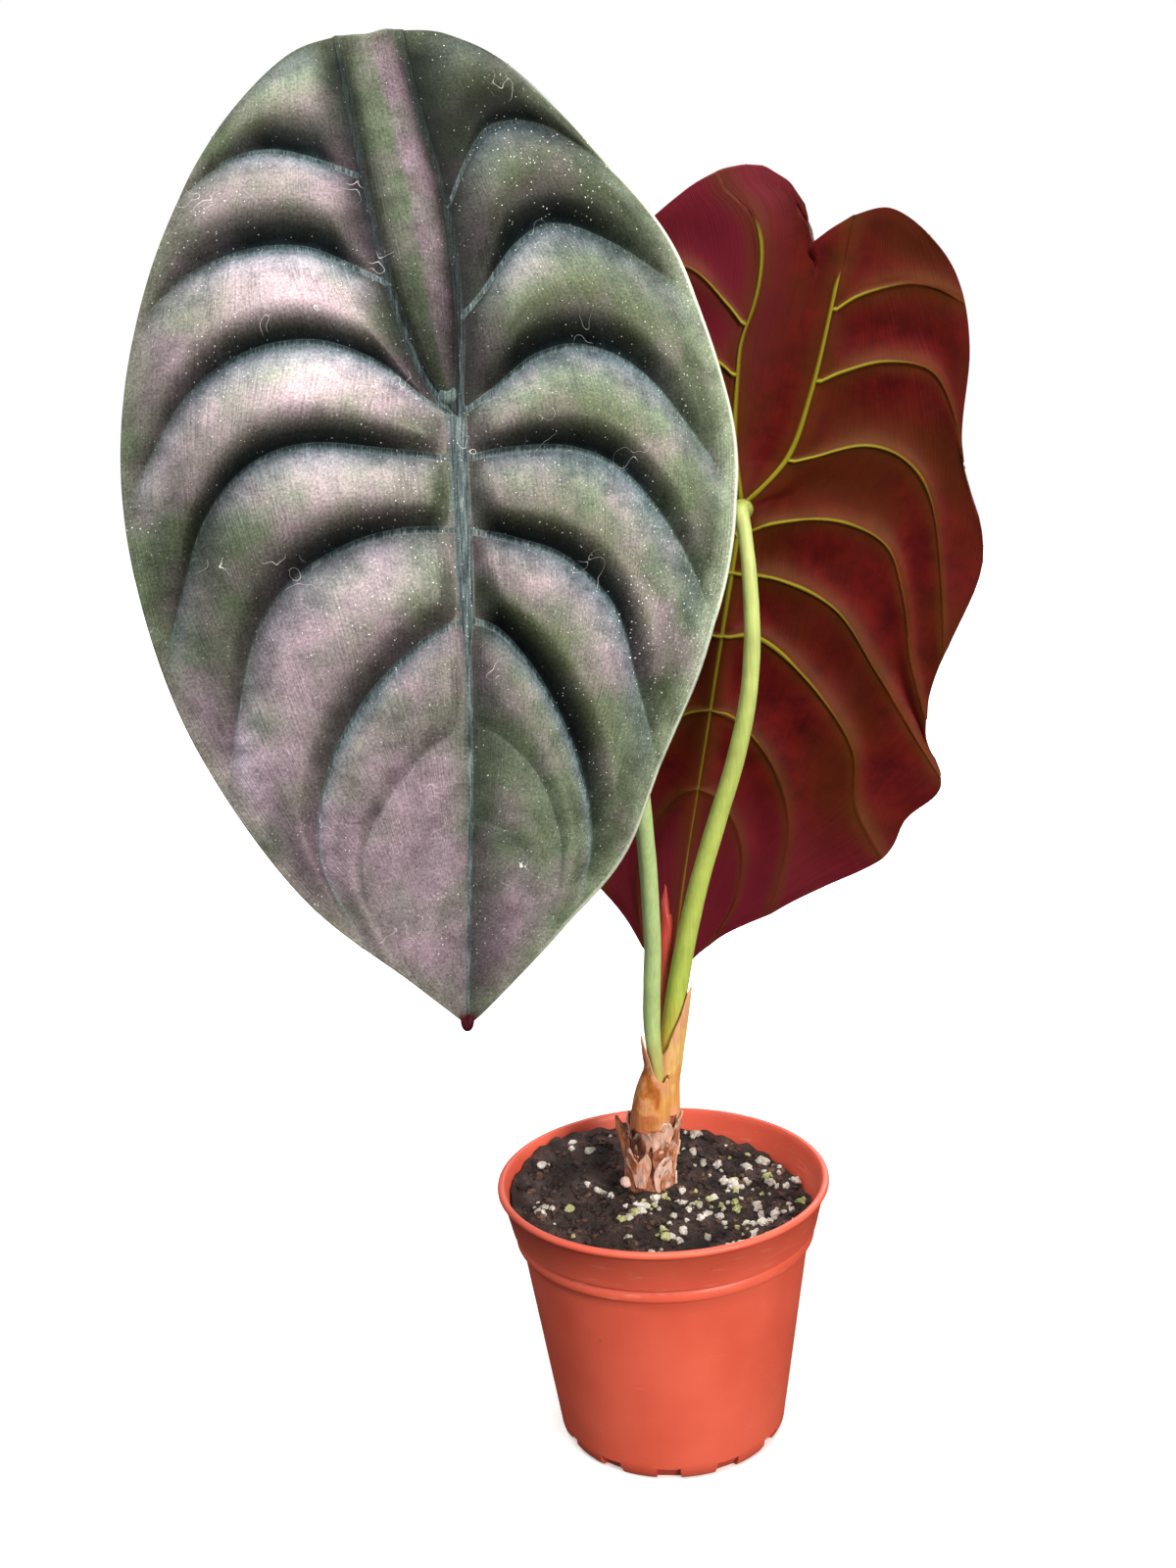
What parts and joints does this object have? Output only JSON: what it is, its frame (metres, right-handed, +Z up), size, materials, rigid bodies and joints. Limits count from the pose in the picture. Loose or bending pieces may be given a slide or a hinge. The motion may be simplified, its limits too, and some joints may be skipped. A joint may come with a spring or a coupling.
{
  "type": "potted red secret alocasia",
  "caption": "Small potted aroid: quilted metallic shield leaf and dark red leaf back on green petioles, scaly crown, soil, round orange nursery pot.",
  "frame": {"origin": "centre of the pot's base, on the surface it stands on", "axes": "+Z up along the pot, -Y towards the front, where the front leaf shows its upper face, +X to the right"},
  "size_m": [0.1968, 0.128, 0.3583],
  "materials": {
    "pot_plastic": "satin",
    "potting_mix": "matte",
    "crown_bark": "matte",
    "sheath_orange": "satin",
    "sheath_brown": "matte",
    "spear_skin": "satin",
    "petiole_pale": "satin",
    "petiole_lime": "satin",
    "leaf_copper": "satin",
    "leaf_crimson": "satin"
  },
  "bodies": {
    "root": {"pot": "pot_plastic", "soil": "potting_mix", "crown": "crown_bark", "sheath_rear": "sheath_orange", "sheath_front": "sheath_brown", "new_leaf_spear": "spear_skin", "petiole_front": "petiole_pale", "petiole_rear": "petiole_lime", "blade_front": "leaf_copper", "blade_rear": "leaf_crimson"}
  },
  "joints": []
}
